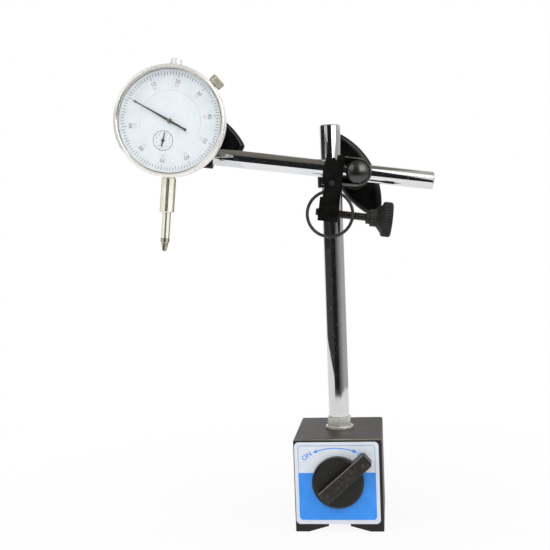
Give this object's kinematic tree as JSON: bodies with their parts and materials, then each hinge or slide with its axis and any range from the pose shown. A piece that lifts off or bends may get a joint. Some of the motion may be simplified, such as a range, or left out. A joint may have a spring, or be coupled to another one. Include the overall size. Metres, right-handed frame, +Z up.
{
  "type": "magnetic dial indicator stand",
  "caption": "Switchable magnet block carrying a chromed column, a clamped cross arm with pinch knob and ring, and a dial gauge that swivels, with working hands, bezel and spindle.",
  "frame": {"origin": "under the middle of the magnet block, in the plane of its sole, on the column's axis", "axes": "+Z up along the column, +X to the right as seen from the switch, +Y from the switch to the back"},
  "size_m": [0.1709, 0.0933, 0.2666],
  "materials": {
    "black_paint": "satin",
    "painted_brass": "satin",
    "soft_iron": "satin",
    "magnet_black": "matte",
    "steel": "satin",
    "chrome": "polished",
    "black_steel": "satin",
    "black_plastic": "satin",
    "print_white": "gloss",
    "nickel": "satin",
    "case_grey": "satin",
    "movement_brass": "satin",
    "clear": "clear",
    "hand_black": "matte",
    "carbide": "satin"
  },
  "bodies": {
    "base": {"left_pole": "black_paint", "right_pole": "black_paint", "pole_spacers": "painted_brass", "front_bush": "movement_brass", "rear_cap": "black_plastic", "front_plate": "print_white", "foot_nut": "chrome", "foot_washer": "chrome"},
    "switch": {"rotor_segments": "soft_iron", "magnet": "magnet_black", "rotor_shaft": "steel", "switch_knob": "black_plastic"},
    "post": {"column": "chrome"},
    "clamp": {"column_strap": "black_steel"},
    "swivel": {"swivel_bolt": "black_steel", "stirrup": "black_steel", "pinch_bracket": "black_steel", "bracket_rivet": "black_steel"},
    "ring": {"spring_ring": "black_steel"},
    "pinch": {"pinch_screw": "steel", "pinch_knob": "black_plastic"},
    "clamp_wing": {"column_wing": "black_plastic"},
    "cross_arm": {"arm": "chrome"},
    "dial_clamp": {"dial_strap": "black_steel"},
    "dial_swivel": {"dial_bolt": "black_steel"},
    "dial_clamp_wing": {"dial_wing": "black_plastic"},
    "gauge": {"lug_stud": "steel", "lug_nut": "steel", "back_cover": "case_grey", "back_screws": "steel", "dial_case": "case_grey", "stem": "nickel", "dust_cap": "nickel", "face_plate": "print_white", "movement_plate": "movement_brass"},
    "plunger": {"spindle": "nickel", "contact_point": "carbide"},
    "bezel_ring": {"bezel": "chrome", "crystal": "clear", "scale_ring": "print_white"},
    "hand_large": {"large_hand": "hand_black", "centre_pinion": "movement_brass"},
    "hand_small": {"small_hand": "hand_black", "gear_arbor": "movement_brass"},
    "bezel_lock": {"lock_screw": "nickel"}
  },
  "joints": [
    {"name": "magnet_switch", "type": "hinge", "parent": "base", "child": "switch", "pos_m": [0, 0, 0.029], "axis": [0, -1, 0], "range_deg": [0, 98]},
    {"name": "column_turn", "type": "hinge", "parent": "base", "child": "post", "pos_m": [0, 0, 0], "axis": [0, 0, 1], "range_deg": [-180, 180]},
    {"name": "clamp_height", "type": "slide", "parent": "post", "child": "clamp", "axis": [0, 0, 1], "range_m": [-0.1, 0.018]},
    {"name": "arm_tilt", "type": "hinge", "parent": "clamp", "child": "swivel", "pos_m": [0.01436, 0.00111, 0.2024], "axis": [-0.0767, 0.9971, 0], "range_deg": [-35, 35]},
    {"name": "ring_swing", "type": "hinge", "parent": "swivel", "child": "ring", "pos_m": [0.01403, -0.02028, 0.18925], "axis": [-0.9861, -0.0759, 0.1478], "range_deg": [-8, 100]},
    {"name": "pinch_turn", "type": "hinge", "parent": "swivel", "child": "pinch", "pos_m": [0.01187, -0.01413, 0.17797], "axis": [0.9861, 0.0759, -0.1478], "range_deg": [0, 1080]},
    {"name": "clamp_wing_turn", "type": "hinge", "parent": "swivel", "child": "clamp_wing", "pos_m": [0.01436, 0.00111, 0.2024], "axis": [-0.0767, 0.9971, 0], "range_deg": [0, 540]},
    {"name": "arm_slide", "type": "slide", "parent": "swivel", "child": "cross_arm", "axis": [0.9861, 0.0759, -0.1478], "range_m": [-0.025, 0.03]},
    {"name": "dial_clamp_turn", "type": "hinge", "parent": "cross_arm", "child": "dial_clamp", "pos_m": [-0.07275, -0.02064, 0.21563], "axis": [0.9861, 0.0759, -0.1478], "range_deg": [-60, 60]},
    {"name": "dial_tilt", "type": "hinge", "parent": "dial_clamp", "child": "dial_swivel", "pos_m": [-0.07169, -0.00552, 0.23046], "axis": [-0.0767, 0.9971, 0], "range_deg": [-60, 60]},
    {"name": "dial_wing_turn", "type": "hinge", "parent": "dial_swivel", "child": "dial_clamp_wing", "pos_m": [-0.07169, -0.00552, 0.23046], "axis": [-0.0767, 0.9971, 0], "range_deg": [0, 540]},
    {"name": "dial_pitch", "type": "hinge", "parent": "dial_swivel", "child": "gauge", "pos_m": [-0.06958, -0.03293, 0.23046], "axis": [0.9912, 0.0763, -0.108], "range_deg": [-20, 20]},
    {"name": "spindle_travel", "type": "slide", "parent": "gauge", "child": "plunger", "axis": [0.1077, 0.0083, 0.9942], "range_m": [0, 0.01], "stiffness_N_per_m": 40, "springref_m": -0.025},
    {"name": "bezel_turn", "type": "hinge", "parent": "gauge", "child": "bezel_ring", "pos_m": [-0.08566, -0.00659, 0.23199], "axis": [-0.0767, 0.9971, 0], "continuous": true},
    {"name": "hand_turn", "type": "hinge", "parent": "gauge", "child": "hand_large", "pos_m": [-0.08566, -0.00659, 0.23199], "axis": [-0.0767, 0.9971, 0], "range_deg": [-10, 3610]},
    {"name": "counter_turn", "type": "hinge", "parent": "gauge", "child": "hand_small", "pos_m": [-0.08995, -0.00692, 0.22186], "axis": [-0.0767, 0.9971, 0], "range_deg": [-362, 2]},
    {"name": "bezel_lock_turn", "type": "hinge", "parent": "gauge", "child": "bezel_lock", "pos_m": [-0.08255, -0.04707, 0.23199], "axis": [0.766, 0.0589, 0.6401], "range_deg": [0, 540]}
  ],
  "couplings": [
    {"joint": "hand_turn", "follows": "spindle_travel", "rad_per_m": 6283.2},
    {"joint": "counter_turn", "follows": "spindle_travel", "rad_per_m": -628.32}
  ]
}
